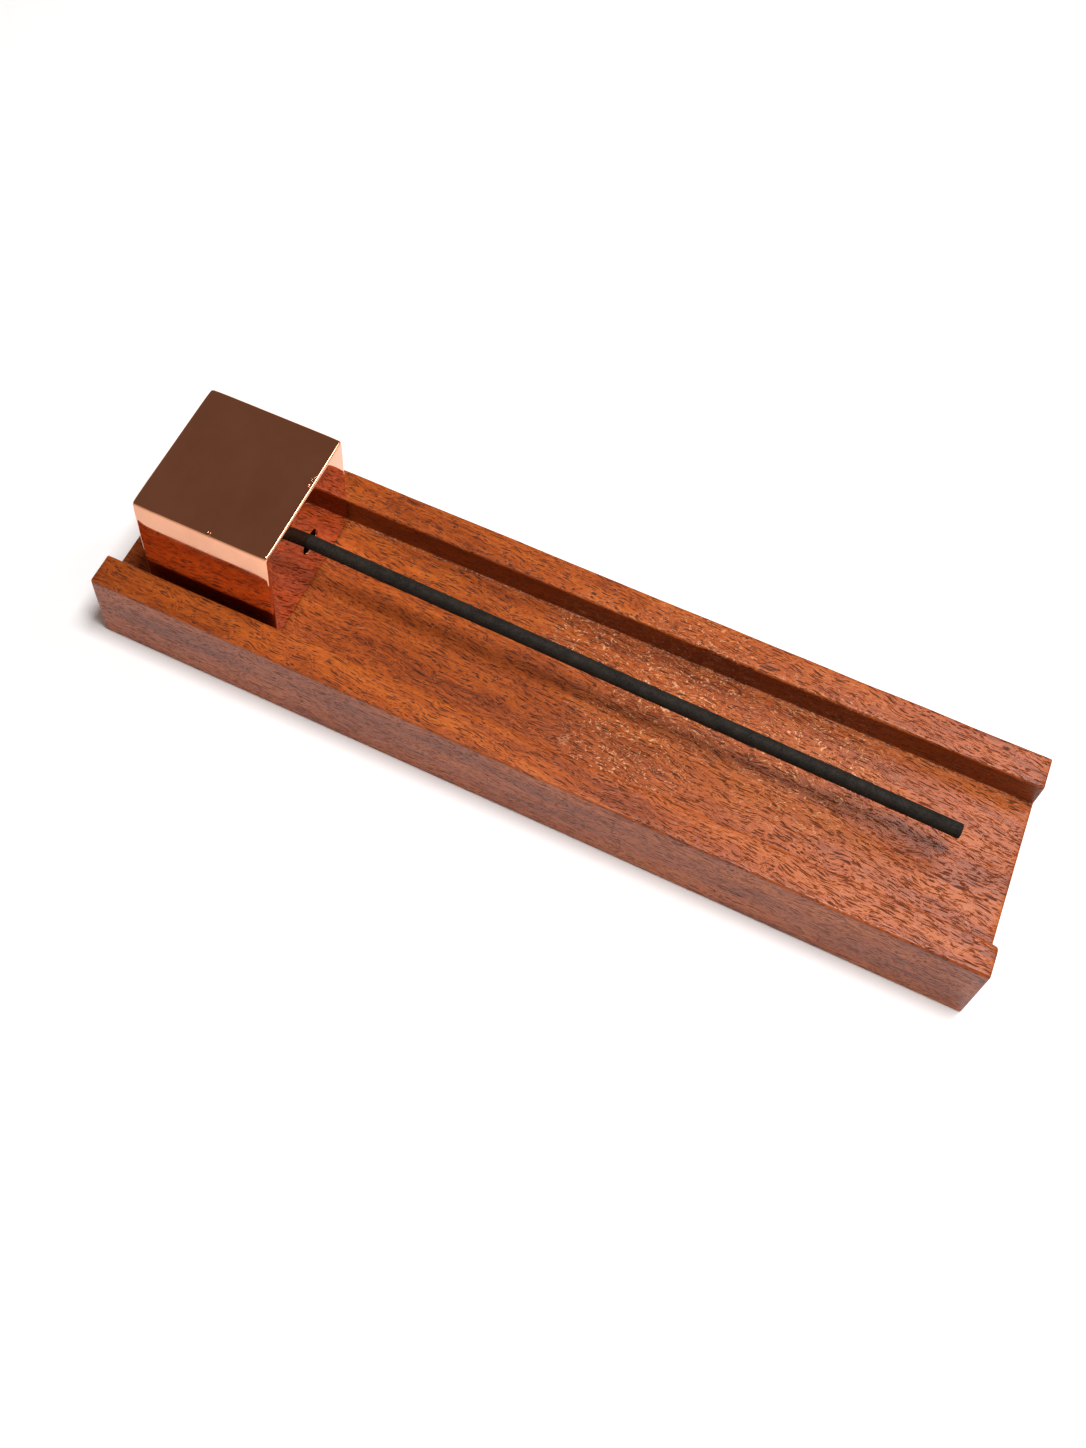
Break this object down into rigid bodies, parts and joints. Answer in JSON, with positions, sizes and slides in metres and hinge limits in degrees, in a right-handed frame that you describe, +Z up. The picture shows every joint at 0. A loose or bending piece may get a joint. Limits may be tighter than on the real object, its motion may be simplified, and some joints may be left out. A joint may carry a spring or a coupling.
{
  "type": "incense stick holder",
  "caption": "Long hardwood tray with an open-ended channel; a loose polished copper block stands in it and holds a charcoal stick level over the channel.",
  "frame": {"origin": "middle of the tray's underside", "axes": "+X along the channel from the block's end to the free end, +Y across the channel, +Z up"},
  "size_m": [0.254, 0.063, 0.0597],
  "materials": {
    "hardwood": "satin",
    "polished_copper": "polished",
    "black_rubber": "matte",
    "charcoal_paste": "matte",
    "bamboo": "satin"
  },
  "bodies": {
    "tray": {"tray": "hardwood"},
    "block": {"block": "polished_copper", "block_pad": "black_rubber", "grommet": "black_rubber"},
    "stick": {"stick_paste": "charcoal_paste", "stick_core": "bamboo"}
  },
  "joints": [
    {"name": "block_slide", "type": "slide", "parent": "tray", "child": "block", "axis": [1, 0, 0], "range_m": [-0.0114, 0.2019]},
    {"name": "stick_slide", "type": "slide", "parent": "block", "child": "stick", "axis": [0.9992, 0, -0.041], "range_m": [0, 0.032]}
  ]
}
